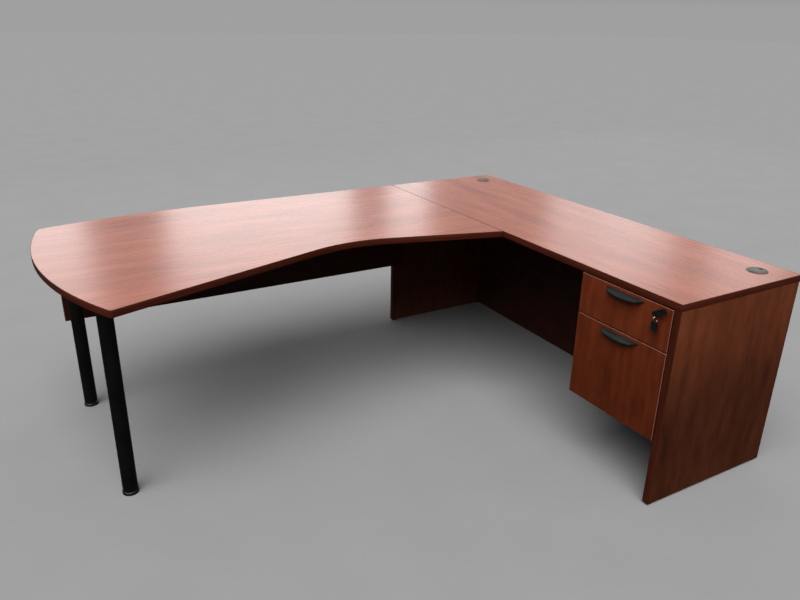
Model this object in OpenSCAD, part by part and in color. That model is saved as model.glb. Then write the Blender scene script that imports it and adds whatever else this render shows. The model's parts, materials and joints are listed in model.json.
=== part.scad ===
// L-shaped office desk: a waisted peninsula top on two posts and a modesty panel, butted
// against a credenza that stands on two gables and carries a hanging two-drawer pedestal.
// Millimetres, +X from the peninsula to the credenza, +Y from the user to the back, +Z up.
// The origin is on the floor, in the middle of the whole desk.

/* [Tops] */
// Height of the worksurfaces
desk_h = 749; // [720:1:760]
// Thickness of every worksurface and gable
board_t = 25; // [22:1:28]
// Length of the credenza, gable to gable
credenza_l = 1829; // [1700:1:1900]
// Depth of the credenza
credenza_w = 605; // [600:1:650]
// Thickness of the edge bands
band_t = 2; // [1:0.5:3]
// Gap between the two worksurfaces
seam_gap = 1; // [0.5:0.5:3]

/* [Peninsula outline] */
// Reach of the peninsula from the credenza to the middle of the bowed end
peninsula_reach = 1696; // [1650:1:1750]
// Radius of the bowed end
bow_r = 1365; // [1300:5:1450]
// Distance of the bow's centre from the back edge
bow_back = 441; // [420:1:460]
// Length of the straight part of the back edge
back_straight = 950; // [900:10:1000]
// Radius on which the rest of the back edge eases forward
back_r = 3000; // [2800:50:3400]
// Distance of the waist from the credenza
waist_x = 600; // [560:5:640]
// Depth of the top at the waist
waist_depth = 793; // [760:1:820]
// Radius of the waist
waist_r = 550; // [450:10:650]
// Slope of the front edge beyond the waist, degrees
outer_slope = 19; // [17:0.5:20]
// Slope of the front edge towards the credenza, degrees
inner_slope = 15; // [13:0.5:17]
// Corner radius at the back of the bowed end
back_corner_r = 28; // [10:1:40]
// Corner radius at the front of the bowed end
front_corner_r = 12; // [6:1:20]

/* [Panels] */
// Clearance of the gables above the floor
glide_h = 6; // [4:1:10]
// Thickness of the credenza's back panel
back_panel_t = 19; // [16:1:19]
// Inset of the back panel from the credenza's outer edge
back_panel_inset = 14; // [8:1:20]
// Height of the peninsula's modesty panel
modesty_h = 363; // [300:1:400]
// Thickness of the modesty panel
modesty_t = 25; // [18:1:25]
// Overhang of the top behind the modesty panel
modesty_inset = 105; // [90:1:120]
// Length of the modesty panel
modesty_l = 1607; // [1590:1:1610]

/* [Post legs] */
// Diameter of the leg tubes
post_d = 51; // [45:1:54]
// Wall of the leg tubes
post_wall = 1.5; // [1:0.5:2]
// Diameter of the levelling feet
foot_d = 56; // [50:1:60]

/* [Pedestal] */
// Width of the pedestal over its sides
pedestal_w = 402; // [396:1:410]
// Height of the pedestal
pedestal_h = 475; // [470:1:480]
// Thickness of the pedestal's panels
carcass_t = 15; // [14:1:16]
// Thickness of the drawer fronts
front_t = 18; // [16:1:19]
// Height of the upper drawer front
upper_front_h = 148; // [146:1:150]
// Gap round the drawer fronts
reveal = 4; // [3:0.5:4]
// Thickness of the drawer sides
drawer_t = 12; // [10:1:13]
// Length of the drawer boxes
drawer_l = 400; // [380:5:410]

/* [Hidden] */

laminate_top = "#B4786A";
laminate_side = "#5A2A1A";
laminate_front = "#6A321C";
band_colour = "#45190F";
steel_black = "#141414";
plastic_black = "#26292B";
plastic_grey = "#6E6C69";
zinc = "#A9ABAD";
beech = "#D2A878";
drawer_colour = "#B89A76";

top_z = desk_h - board_t;            // underside of the worksurfaces
origin_x = (peninsula_reach - credenza_w) / 2;
origin_y = credenza_l / 2;
screw_r = 2;
hole_slack = 0.05;

// The outline of the peninsula, measured from the back corner at the seam
back_centre = [-back_straight, -back_r];
bow_centre = [bow_r - peninsula_reach, -bow_back];
waist_centre = [-waist_x, -waist_depth - waist_r];
outer_normal = [-sin(outer_slope), cos(outer_slope)];
outer_along = [-cos(outer_slope), -sin(outer_slope)];
inner_normal = [sin(inner_slope), cos(inner_slope)];
arc_steps = 24;

// Legs, glides, grommets and pedestal, in the same measure
front_post = [-1534, -905];
rear_post = [-1567, -205];
plug_flange_h = 5;
foot_h = 12;
stud_top = 36;
insert_z = 17;                       // underside of the leg insert
tube_z = insert_z + plug_flange_h;
plate_t = 4;
plate_r = 44;
plate_hole_r = 34;
grommet_inset = 105;
grommet_r = 30;                      // sleeve of the grommet ring
grommet_lip_r = 36;
grommet_bore_r = 27.5;
cap_r = 27.3;
cap_slot = [13, 14];                 // where the slot starts, and its width
pedestal_near_y = -credenza_l + board_t + 2;
pedestal_far_y = pedestal_near_y + pedestal_w;
pedestal_mid_y = (pedestal_near_y + pedestal_far_y) / 2;
pedestal_z = top_z - pedestal_h;
carcass_x = front_t + 2;             // front edges of the pedestal's panels
carcass_l = 440;
rail_w = 75;
slide_gap = 12.7;                    // between each drawer side and the carcass
box_w = pedestal_w - 2 * carcass_t - 2 * slide_gap;
upper_front_z = top_z - reveal - upper_front_h;
lower_front_z = pedestal_z - 4;
lower_front_h = upper_front_z - reveal - lower_front_z;
upper_box = [590, 95];               // underside and height of the drawer sides
lower_box = [285, 230];
upper_slide_z = 622;
lower_slide_z = 335;
pull_drop = 11;                      // pull below the top edge of its front
pull_screw_x = 32;                   // pull screws either side of the middle
pull_screw_drop = 12;
pull_half = 86;
pull_depth = 24.5;
pull_bow_r = 484;                    // bow of the outer edge, seen from above
pull_rake = 26;
pull_h = 17.5;
pull_lower_r = 250;                  // bow of the lower edge, seen from the front
lock_y = -credenza_l + 84;
lock_z = top_z - 32;
cam_l = 24;
key_angle = 28;                      // the key's head points up and to the right
key_x = -16.5;                       // middle of the key heads
ring_hole = [2, 6.6];                // ring hole, along and across the key's head
ring_hole_r = 2.2;
ring_r = 11;
ring_wire_r = 0.6;
ring_y = lock_y - ring_hole[0] * cos(key_angle) - ring_hole[1] * sin(key_angle);
ring_hole_z = lock_z + ring_hole[0] * sin(key_angle) - ring_hole[1] * cos(key_angle);
ring_z = ring_hole_z - 1 - ring_r;
spare_z = ring_z - ring_r + ring_wire_r - ring_hole_r + 0.35;
bracket_x = [-1440, -1000, -560, -120];
bracket_size = 40;
bracket_w = 32;
joint_plate_y = [-220, -700];
cam_x = [80, 300, 520];
dowel_x = [40, 190, 410, 560];
cam_z = top_z - 34;
pedestal_screw_x = [carcass_x + 40, carcass_x + carcass_l - 60];
pedestal_screw_y = [pedestal_near_y + 90, pedestal_far_y - 90];

function bearing(from, to) = atan2(to[1] - from[1], to[0] - from[0]);

function arc(centre, r, a0, a1, steps) =
    [for (i = [0:steps]) centre + r * [cos(a0 + (a1 - a0) * i / steps),
                                       sin(a0 + (a1 - a0) * i / steps)]];

// Where two circles cross, on the left of the line from the first centre to the second
function circles_meet(c0, r0, c1, r1) =
    let (d = norm(c1 - c0), along = (c1 - c0) / d, across = [-along[1], along[0]],
         u = (d * d + r0 * r0 - r1 * r1) / (2 * d), v = sqrt(r0 * r0 - u * u))
    c0 + u * along + v * across;

// Where a line leaves a circle
function line_leaves(start, along, centre, r) =
    let (b = along * (start - centre), c = (start - centre) * (start - centre) - r * r)
    start + (sqrt(b * b - c) - b) * along;

back_corner = circles_meet(back_centre, back_r - back_corner_r, bow_centre, bow_r - back_corner_r);
front_corner = line_leaves(waist_centre + (waist_r + front_corner_r) * outer_normal,
                           outer_along, bow_centre, bow_r - front_corner_r);

function seam_front(inset) =
    let (tangent = waist_centre + (waist_r + inset) * inner_normal,
         x = -seam_gap - inset)
    [x, tangent[1] - (x - tangent[0]) * tan(inner_slope)];

function half_turn(a) = a < 0 ? a + 360 : a;

function peninsula_outline(inset) = concat(
    [[-seam_gap - inset, -inset]],
    arc(back_centre, back_r - inset, 90, bearing(back_centre, back_corner), arc_steps),
    arc(back_corner, back_corner_r - inset, bearing(back_centre, back_corner),
        bearing(bow_centre, back_corner), 8),
    arc(bow_centre, bow_r - inset, bearing(bow_centre, back_corner),
        half_turn(bearing(bow_centre, front_corner)), 2 * arc_steps),
    arc(front_corner, front_corner_r - inset, half_turn(bearing(bow_centre, front_corner)),
        270 + outer_slope, 8),
    arc(waist_centre, waist_r + inset, 90 + outer_slope, 90 - inner_slope, arc_steps),
    [seam_front(inset)]);

module in_place() {
    translate([origin_x, origin_y, 0])
        children();
}

// A board between two opposite corners
module board(low, high) {
    translate(low)
        cube(high - low);
}

// A flat rectangle's band, band_t wide, between two heights
module band_loop(low, high) {
    difference() {
        board(low, high);
        board(low + [band_t, band_t, -1], high + [-band_t, -band_t, 1]);
    }
}

// A pan-head screw whose shank points along +Z from the origin
module screw(shank) {
    rotate_extrude($fn = 32)
        polygon([[0, -2.4], [2.6, -2.4], [3.8, -1.2], [3.8, 0], [screw_r, 0],
                 [screw_r, shank - 2], [0, shank]]);
}

// The hole that a screw's shank sits in
module screw_hole(depth) {
    translate([0, 0, -1])
        cylinder(h = depth + 1.5, r = screw_r + hole_slack, $fn = 32);
}

module at_joint_screws() {
    for (y = joint_plate_y, x = [-45, -20, 20, 45])
        translate([x, y, top_z])
            children();
}

module at_bracket_top_screws() {
    for (x = bracket_x, side = [-8, 8])
        translate([x + side, -modesty_inset - modesty_t - 28, top_z])
            children();
}

// Screws into the modesty panel point along +Y
module at_bracket_panel_screws() {
    for (x = bracket_x, side = [-8, 8])
        translate([x + side, -modesty_inset - modesty_t, top_z - 28])
            rotate([-90, 0, 0])
                children();
}

module at_leg_screws() {
    for (post = [front_post, rear_post], turn = [45:90:315])
        translate([post[0] + plate_hole_r * cos(turn), post[1] + plate_hole_r * sin(turn), top_z])
            children();
}

module at_cams() {
    for (x = cam_x) {
        translate([x, -board_t, cam_z])
            rotate([90, 0, 0])
                children();
        translate([x, -credenza_l + board_t, cam_z])
            rotate([-90, 0, 0])
                children();
    }
}

module at_gable_tops(places) {
    for (x = places, y = [-board_t / 2, -credenza_l + board_t / 2])
        translate([x, y, top_z])
            children();
}

module at_pedestal_screws() {
    for (x = pedestal_screw_x, y = pedestal_screw_y)
        translate([x, y, top_z])
            children();
}

module at_glides() {
    for (x = [20, credenza_w - 34], y = [-board_t / 2, -credenza_l + board_t / 2])
        translate([x, y, 0])
            children();
}

module at_grommet(near) {
    translate([credenza_w - grommet_inset, near ? -credenza_l + 100 : -grommet_inset, 0])
        children();
}

// ---- worksurfaces

module peninsula_top() {
    color(laminate_top)
        in_place()
            difference() {
                translate([0, 0, top_z])
                    linear_extrude(board_t)
                        polygon(peninsula_outline(band_t));
                at_joint_screws() screw_hole(15);
                at_bracket_top_screws() screw_hole(15);
                at_leg_screws() screw_hole(15);
            }
}

module peninsula_edge_band() {
    color(band_colour)
        in_place()
            translate([0, 0, top_z])
                linear_extrude(board_t)
                    difference() {
                        polygon(peninsula_outline(0));
                        polygon(peninsula_outline(band_t));
                    }
}

module credenza_top() {
    color(laminate_top)
        in_place()
            difference() {
                board([band_t, band_t - credenza_l, top_z],
                      [credenza_w - band_t, -band_t, desk_h]);
                for (near = [true, false])
                    at_grommet(near)
                        translate([0, 0, top_z - 1])
                            cylinder(h = board_t + 2, r = grommet_r + 0.2, $fn = 96);
                at_joint_screws() screw_hole(15);
                at_gable_tops(cam_x) cam_bolt_hole();
                at_gable_tops(dowel_x) dowel_hole();
                at_pedestal_screws() screw_hole(13);
            }
}

module credenza_edge_band() {
    color(band_colour)
        in_place()
            band_loop([0, -credenza_l, top_z], [credenza_w, 0, desk_h]);
}

// ---- panels

module cam_hole() {
    translate([0, 0, -13])
        cylinder(h = 14, r = 7.6, $fn = 48);
}

module cam_bolt_hole() {
    translate([0, 0, -27])
        cylinder(h = 40, r = 3.1, $fn = 32);
}

module dowel_hole() {
    translate([0, 0, -21])
        cylinder(h = 34, r = 4.05, $fn = 32);
}

module gable(near) {
    y = near ? -credenza_l : -board_t;
    color(laminate_side)
        in_place()
            difference() {
                board([band_t, y, glide_h], [credenza_w - 8 - band_t, y + board_t, top_z]);
                at_cams() cam_hole();
                at_gable_tops(cam_x) cam_bolt_hole();
                at_gable_tops(dowel_x) dowel_hole();
                at_glides() glide_hole();
            }
}

module far_gable() {
    gable(false);
}

module near_gable() {
    gable(true);
}

module panel_edge_bands() {
    color(band_colour)
        in_place() {
            for (y = [-board_t, -credenza_l], x = [0, credenza_w - 8 - band_t])
                board([x, y, glide_h], [x + band_t, y + board_t, top_z]);
            board([-modesty_l - seam_gap, -modesty_inset - modesty_t, top_z - modesty_h + band_t],
                  [-modesty_l - seam_gap + band_t, -modesty_inset, top_z]);
            board([-modesty_l - seam_gap, -modesty_inset - modesty_t, top_z - modesty_h],
                  [-seam_gap - 1, -modesty_inset, top_z - modesty_h + band_t]);
        }
}

module back_panel() {
    x = credenza_w - back_panel_inset;
    color(laminate_side)
        in_place()
            board([x - back_panel_t, -credenza_l + board_t, glide_h + 2], [x, -board_t, top_z]);
}

module modesty_panel() {
    color(laminate_side)
        in_place()
            difference() {
                board([-modesty_l - seam_gap + band_t, -modesty_inset - modesty_t,
                       top_z - modesty_h + band_t],
                      [-seam_gap - 1, -modesty_inset, top_z]);
                at_bracket_panel_screws() screw_hole(15);
            }
}

// ---- fasteners and fittings

module modesty_brackets() {
    y = -modesty_inset - modesty_t;
    color(zinc)
        in_place()
            difference() {
                for (x = bracket_x)
                    translate([x - bracket_w / 2, y, top_z])
                        rotate([90, 0, 90])
                            linear_extrude(bracket_w)
                                polygon([[0, 0], [0, -bracket_size], [-2, -bracket_size],
                                         [-2, -2], [-bracket_size, -2], [-bracket_size, 0]]);
                at_bracket_top_screws()
                    translate([0, 0, -3])
                        cylinder(h = 4, r = screw_r + 0.3, $fn = 32);
                at_bracket_panel_screws()
                    translate([0, 0, -3])
                        cylinder(h = 4, r = screw_r + 0.3, $fn = 32);
            }
}

module joining_plates() {
    color(zinc)
        in_place()
            difference() {
                for (y = joint_plate_y)
                    board([-60, y - 18, top_z - 2], [60, y + 18, top_z]);
                at_joint_screws()
                    translate([0, 0, -3])
                        cylinder(h = 4, r = screw_r + 0.3, $fn = 32);
            }
}

module underside_screws() {
    color(zinc)
        in_place() {
            at_joint_screws() translate([0, 0, -2]) screw(16);
            at_bracket_top_screws() translate([0, 0, -2]) screw(16);
            at_bracket_panel_screws() translate([0, 0, -2]) screw(16);
            at_leg_screws() translate([0, 0, -plate_t]) screw(18);
        }
}

module cam_fittings() {
    color(zinc)
        in_place() {
            at_cams()
                difference() {
                    translate([0, 0, -12.5])
                        cylinder(h = 12.3, r = 7.5, $fn = 48);
                    translate([-4, -0.8, -1.6])
                        cube([8, 1.6, 3]);
                    translate([-0.8, -4, -1.6])
                        cube([1.6, 8, 3]);
                }
            at_gable_tops(cam_x)
                translate([0, 0, -26])
                    cylinder(h = 38, r = 3, $fn = 32);
        }
}

module wood_dowels() {
    color(beech)
        in_place()
            at_gable_tops(dowel_x)
                translate([0, 0, -20])
                    cylinder(h = 32, r = 4, $fn = 32);
}

module glide_hole() {
    cylinder(h = 22, r = 1.6, $fn = 24);
}

module gable_glides() {
    color(plastic_black)
        in_place()
            at_glides()
                rotate_extrude($fn = 48)
                    polygon([[0, 0], [9, 0], [10.5, 1.5], [10.5, glide_h - 1], [9.5, glide_h],
                             [1.5, glide_h], [1.5, 20], [0, 21]]);
}

// ---- post legs

module post_leg(post) {
    color(steel_black)
        in_place()
            translate([post[0], post[1], tube_z])
                difference() {
                    cylinder(h = top_z - plate_t - tube_z, r = post_d / 2, $fn = 96);
                    translate([0, 0, -1])
                        cylinder(h = top_z, r = post_d / 2 - post_wall, $fn = 96);
                }
}

module front_post_leg() {
    post_leg(front_post);
}

module rear_post_leg() {
    post_leg(rear_post);
}

module leg_plates() {
    color(steel_black)
        in_place()
            difference() {
                for (post = [front_post, rear_post])
                    translate([post[0], post[1], top_z - plate_t])
                        cylinder(h = plate_t, r = plate_r, $fn = 96);
                at_leg_screws()
                    translate([0, 0, -plate_t - 1])
                        cylinder(h = plate_t + 2, r = screw_r + 0.3, $fn = 32);
            }
}

module leg_inserts() {
    sleeve_r = post_d / 2 - post_wall - 0.1;
    color(plastic_black)
        in_place()
            for (post = [front_post, rear_post])
                translate([post[0], post[1], 0])
                    rotate_extrude($fn = 96)
                        polygon([[4.06, insert_z], [post_d / 2 - 1, insert_z],
                                 [post_d / 2, insert_z + 1], [post_d / 2, tube_z],
                                 [sleeve_r, tube_z], [sleeve_r, tube_z + 22], [4.06, tube_z + 22]]);
}

module leg_foot(post) {
    color(plastic_black)
        in_place()
            translate([post[0], post[1], 0])
                rotate_extrude($fn = 96)
                    polygon([[0, 0], [foot_d / 2 - 2, 0], [foot_d / 2, 2],
                             [foot_d / 2, foot_h - 3], [foot_d / 2 - 3, foot_h], [8, foot_h],
                             [8, foot_h + 3], [4, foot_h + 3], [4, stud_top], [0, stud_top]]);
}

module front_leg_foot() {
    leg_foot(front_post);
}

module rear_leg_foot() {
    leg_foot(rear_post);
}

// ---- cable grommets

module grommet_ring(near) {
    color(plastic_grey)
        in_place()
            at_grommet(near)
                rotate_extrude($fn = 96)
                    polygon([[grommet_bore_r, desk_h + 3], [grommet_bore_r, desk_h - 3],
                             [24.5, desk_h - 3], [24.5, desk_h - 5], [grommet_bore_r, desk_h - 5],
                             [grommet_bore_r, desk_h - 22], [grommet_r, desk_h - 22],
                             [grommet_r, desk_h], [grommet_lip_r, desk_h],
                             [grommet_lip_r, desk_h + 0.8], [grommet_lip_r - 3, desk_h + 3]]);
}

module near_grommet_ring() {
    grommet_ring(true);
}

module far_grommet_ring() {
    grommet_ring(false);
}

module grommet_cap(near) {
    color(plastic_grey)
        in_place()
            at_grommet(near)
                difference() {
                    rotate_extrude($fn = 96)
                        polygon([[0, desk_h - 2.7], [cap_r, desk_h - 2.7], [cap_r, desk_h + 2.4],
                                 [cap_r - 1.5, desk_h + 3], [0, desk_h + 3]]);
                    translate([cap_slot[0], -cap_slot[1] / 2, desk_h - 4])
                        cube([20, cap_slot[1], 8]);
                }
}

module near_grommet_cap() {
    grommet_cap(true);
}

module far_grommet_cap() {
    grommet_cap(false);
}

// ---- hanging pedestal

module pedestal_side(y) {
    color(laminate_side)
        in_place()
            board([carcass_x, y, pedestal_z], [carcass_x + carcass_l, y + carcass_t, top_z]);
}

module pedestal_near_side() {
    pedestal_side(pedestal_near_y);
}

module pedestal_far_side() {
    pedestal_side(pedestal_far_y - carcass_t);
}

module pedestal_bottom() {
    color(laminate_side)
        in_place()
            board([carcass_x, pedestal_near_y + carcass_t, pedestal_z],
                  [carcass_x + carcass_l, pedestal_far_y - carcass_t, pedestal_z + carcass_t]);
}

module pedestal_back() {
    color(laminate_side)
        in_place()
            board([carcass_x + carcass_l - carcass_t, pedestal_near_y + carcass_t,
                   pedestal_z + carcass_t],
                  [carcass_x + carcass_l, pedestal_far_y - carcass_t, top_z]);
}

// The front rail has a mortise that the lock's cam turns into
module pedestal_rails() {
    color(laminate_side)
        in_place()
            difference() {
                for (x = [carcass_x, carcass_x + carcass_l - carcass_t - rail_w])
                    board([x, pedestal_near_y + carcass_t, top_z - carcass_t],
                          [x + rail_w, pedestal_far_y - carcass_t, top_z]);
                board([carcass_x + 3, lock_y - 22, top_z - carcass_t - 1],
                      [carcass_x + 12, lock_y + 9, top_z - 5]);
                at_pedestal_screws()
                    translate([0, 0, -carcass_t - 1])
                        cylinder(h = carcass_t + 2, r = screw_r + hole_slack, $fn = 32);
            }
}

module pedestal_screws() {
    color(zinc)
        in_place()
            at_pedestal_screws()
                translate([0, 0, -carcass_t])
                    screw(27);
}

// ---- drawer slides

// A C-shaped channel along +X: its web is at y 0 and its flanges reach along +Y
module channel(length, height, depth) {
    translate([0, 0, -height / 2])
        difference() {
            cube([length, depth, height]);
            translate([-1, 1.2, 1.2])
                cube([length + 2, depth, height - 2.4]);
        }
}

// The same channel on both sides of the drawers, its web set off from the carcass side
module channel_pair(x, z, length, height, depth, off, turned) {
    for (near = [true, false]) {
        wall = near ? pedestal_near_y + carcass_t : pedestal_far_y - carcass_t;
        translate([x, wall, z])
            mirror([0, near ? 0 : 1, 0])
                translate([0, turned ? slide_gap - off : off, 0])
                    mirror([0, turned ? 1 : 0, 0])
                        channel(length, height, depth);
    }
}

module slide_outer_members() {
    color(zinc)
        in_place() {
            channel_pair(carcass_x + 4, upper_slide_z, drawer_l, 40, 8, 0, false);
            channel_pair(carcass_x + 4, lower_slide_z, drawer_l, 45, 9, 0, false);
        }
}

module upper_slide_inner_members() {
    color(zinc)
        in_place()
            channel_pair(carcass_x + 1, upper_slide_z, drawer_l - 4, 30, 8, 0, true);
}

module lower_slide_middle_members() {
    color(zinc)
        in_place()
            channel_pair(carcass_x + 5, lower_slide_z, drawer_l - 6, 39, 7, 2.2, false);
}

module lower_slide_inner_members() {
    color(zinc)
        in_place()
            channel_pair(carcass_x + 1, lower_slide_z, drawer_l - 4, 32, 7, 0, true);
}

// ---- drawers

module drawer_front(z, height, locked) {
    color(laminate_front)
        in_place()
            difference() {
                board([0, pedestal_near_y + 2 + band_t, z + band_t],
                      [front_t, pedestal_far_y - band_t, z + height - band_t]);
                at_pull_screws(z + height) translate([-1, 0, 0]) rotate([0, 90, 0])
                    cylinder(h = front_t + 2, r = screw_r + 0.3, $fn = 32);
                if (locked)
                    translate([-1, lock_y, lock_z])
                        rotate([0, 90, 0])
                            cylinder(h = front_t + 2, r = 9.6, $fn = 64);
            }
}

module front_edge_band(z, height) {
    color(band_colour)
        in_place()
            difference() {
                board([0, pedestal_near_y + 2, z], [front_t, pedestal_far_y, z + height]);
                board([-1, pedestal_near_y + 2 + band_t, z + band_t],
                      [front_t + 1, pedestal_far_y - band_t, z + height - band_t]);
            }
}

module drawer_side(box, near) {
    y = pedestal_mid_y + (near ? -box_w / 2 : box_w / 2 - drawer_t);
    color(drawer_colour)
        in_place()
            board([front_t, y, box[0]], [front_t + drawer_l, y + drawer_t, box[0] + box[1]]);
}

module drawer_back(box) {
    color(drawer_colour)
        in_place()
            board([front_t + drawer_l - drawer_t, pedestal_mid_y - box_w / 2 + drawer_t, box[0]],
                  [front_t + drawer_l, pedestal_mid_y + box_w / 2 - drawer_t, box[0] + box[1]]);
}

module drawer_bottom(box) {
    color(drawer_colour)
        in_place()
            board([front_t, pedestal_mid_y - box_w / 2 + drawer_t, box[0] + 10],
                  [front_t + drawer_l - drawer_t, pedestal_mid_y + box_w / 2 - drawer_t,
                   box[0] + 16]);
}

module at_pull_screws(top) {
    for (side = [-pull_screw_x, pull_screw_x])
        translate([0, pedestal_mid_y + side, top - pull_drop - pull_screw_drop])
            children();
}

// The blade, lip and back plate of a pull, outward negative, down negative
pull_section = [[0, 0], [-8, -1.5], [-16, -4.5], [-22, -8.5], [-24.5, -12.5], [-24.5, -16],
                [-23, -17.5], [-21, -16.5], [-20.5, -13.5], [-16, -9.5], [-8, -6.5], [-5, -8],
                [-4, -17.5], [0, -17.5]];

// A crescent lip pull: its section, its plan and its front view all trim it, so that the
// outer and the lower edge both run out to points at the ends
module pull(top) {
    color(plastic_black)
        in_place()
            difference() {
                translate([0, pedestal_mid_y, top - pull_drop])
                    intersection() {
                        rotate([90, 0, 0])
                            linear_extrude(2 * pull_half, center = true)
                                polygon(pull_section);
                        translate([0, 0, -pull_h - 5])
                            linear_extrude(pull_h + 10)
                                intersection() {
                                    polygon([[0, -pull_half], [0, pull_half],
                                             [-pull_depth - 1, pull_half - pull_rake],
                                             [-pull_depth - 1, pull_rake - pull_half]]);
                                    translate([pull_bow_r - pull_depth, 0])
                                        circle(r = pull_bow_r, $fn = 360);
                                }
                        translate([-pull_depth - 5, 0, pull_lower_r - pull_h])
                            rotate([0, 90, 0])
                                cylinder(h = pull_depth + 10, r = pull_lower_r, $fn = 360);
                    }
                at_pull_screws(top) translate([-5, 0, 0]) rotate([0, 90, 0])
                    cylinder(h = 6, r = screw_r + hole_slack, $fn = 32);
            }
}

// Machine screws through the front into the pull's back plate
module pull_screws(top) {
    color(zinc)
        in_place()
            at_pull_screws(top)
                translate([front_t, 0, 0])
                    rotate([0, -90, 0])
                        screw(front_t + 3.5);
}

module upper_drawer_front() {
    drawer_front(upper_front_z, upper_front_h, true);
}

module upper_front_edge_band() {
    front_edge_band(upper_front_z, upper_front_h);
}

module upper_drawer_near_side() {
    drawer_side(upper_box, true);
}

module upper_drawer_far_side() {
    drawer_side(upper_box, false);
}

module upper_drawer_back() {
    drawer_back(upper_box);
}

module upper_drawer_bottom() {
    drawer_bottom(upper_box);
}

module upper_pull() {
    pull(upper_front_z + upper_front_h);
}

module upper_pull_screws() {
    pull_screws(upper_front_z + upper_front_h);
}

module lower_drawer_front() {
    drawer_front(lower_front_z, lower_front_h, false);
}

module lower_front_edge_band() {
    front_edge_band(lower_front_z, lower_front_h);
}

module lower_drawer_near_side() {
    drawer_side(lower_box, true);
}

module lower_drawer_far_side() {
    drawer_side(lower_box, false);
}

module lower_drawer_back() {
    drawer_back(lower_box);
}

module lower_drawer_bottom() {
    drawer_bottom(lower_box);
}

module lower_pull() {
    pull(lower_front_z + lower_front_h);
}

module lower_pull_screws() {
    pull_screws(lower_front_z + lower_front_h);
}

// Hanging files hook over two flat rails on the inside of the drawer sides
module file_rails() {
    z = lower_box[0] + lower_box[1];
    y = box_w / 2 - drawer_t - 1.5;
    color(zinc)
        in_place()
            for (side = [-1, 1])
                board([front_t + 10, pedestal_mid_y + side * y - 1.5, z - 8],
                      [front_t + drawer_l - drawer_t - 8, pedestal_mid_y + side * y + 1.5, z + 8]);
}

// ---- lock and keys

// Puts the X axis of what follows on the lock's axis, looking in from the front
module on_lock_axis() {
    translate([0, lock_y, lock_z])
        rotate([0, 90, 0])
            children();
}

module lock_housing() {
    color(steel_black)
        in_place()
            on_lock_axis()
                difference() {
                    union() {
                        translate([0, 0, -3])
                            cylinder(h = 3, r = 10.5, $fn = 64);
                        cylinder(h = 23, r = 9.5, $fn = 64);
                    }
                    translate([0, 0, -4])
                        cylinder(h = 28, r = 6.56, $fn = 64);
                }
}

module lock_plug() {
    color(zinc)
        in_place()
            on_lock_axis()
                translate([0, 0, -3.6])
                    cylinder(h = 27.1, r = 6.5, $fn = 64);
}

// The cam lies along -Y when the drawer is free and turns up to lock it
module lock_cam() {
    color(zinc)
        in_place()
            translate([23.5, lock_y, lock_z])
                rotate([90, 0, 90])
                    linear_extrude(3)
                        union() {
                            circle(r = 8, $fn = 48);
                            translate([-cam_l, -4])
                                square([cam_l, 8]);
                        }
}

// Puts what follows in the plane of the key heads, X along the head
module on_key() {
    translate([key_x, lock_y, lock_z])
        rotate([90, 0, -90])
            rotate([0, 0, key_angle])
                children();
}

module key_blade() {
    color(zinc)
        in_place()
            on_lock_axis()
                translate([-1, -4, key_x + 2.5])
                    cube([2, 8, -key_x - 2.5 - 3.6]);
}

module key_head() {
    color(plastic_black)
        in_place()
            on_key()
                difference() {
                    linear_extrude(5, center = true)
                        union() {
                            circle(r = 10, $fn = 64);
                            translate([0, -7])
                                square([20, 14]);
                            for (x = [20, 39], y = [-2.5, 2.5])
                                translate([x, y])
                                    circle(r = 8, $fn = 64);
                            translate([12, -2.5])
                                square([35, 5]);
                            translate([20, -10.5])
                                square([19, 21]);
                        }
                    translate([ring_hole[0], -ring_hole[1], -4])
                        cylinder(h = 8, r = ring_hole_r, $fn = 48);
                }
}

// The ring hangs square to the key's head
module key_ring() {
    color(zinc)
        in_place()
            translate([key_x, ring_y, ring_z])
                rotate([90, 0, 0])
                    rotate_extrude($fn = 96)
                        translate([ring_r, 0])
                            circle(r = ring_wire_r, $fn = 24);
}

module spare_key() {
    color(plastic_black)
        in_place()
            translate([key_x, ring_y, spare_z])
                rotate([90, 0, 90])
                    difference() {
                        linear_extrude(4, center = true)
                            difference() {
                                translate([-12, -30])
                                    square([24, 34]);
                                for (x = [-12, 12], y = [-30, 4])
                                    translate([x, y])
                                        rotate(45)
                                            square(6, center = true);
                            }
                        translate([0, 0, -4])
                            cylinder(h = 8, r = ring_hole_r, $fn = 48);
                    }
}

peninsula_top();
peninsula_edge_band();
credenza_top();
credenza_edge_band();
far_gable();
near_gable();
panel_edge_bands();
back_panel();
modesty_panel();
modesty_brackets();
joining_plates();
underside_screws();
cam_fittings();
wood_dowels();
front_post_leg();
rear_post_leg();
leg_plates();
leg_inserts();
front_leg_foot();
rear_leg_foot();
gable_glides();
near_grommet_ring();
far_grommet_ring();
near_grommet_cap();
far_grommet_cap();
pedestal_near_side();
pedestal_far_side();
pedestal_bottom();
pedestal_back();
pedestal_rails();
pedestal_screws();
slide_outer_members();
upper_drawer_front();
upper_front_edge_band();
upper_drawer_near_side();
upper_drawer_far_side();
upper_drawer_back();
upper_drawer_bottom();
upper_slide_inner_members();
upper_pull();
upper_pull_screws();
lower_drawer_front();
lower_front_edge_band();
lower_drawer_near_side();
lower_drawer_far_side();
lower_drawer_back();
lower_drawer_bottom();
lower_slide_inner_members();
lower_slide_middle_members();
lower_pull();
lower_pull_screws();
file_rails();
lock_housing();
lock_plug();
lock_cam();
key_blade();
key_head();
key_ring();
spare_key();
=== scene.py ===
import json
import math

import bmesh
import bpy
from mathutils import Matrix, Vector


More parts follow.
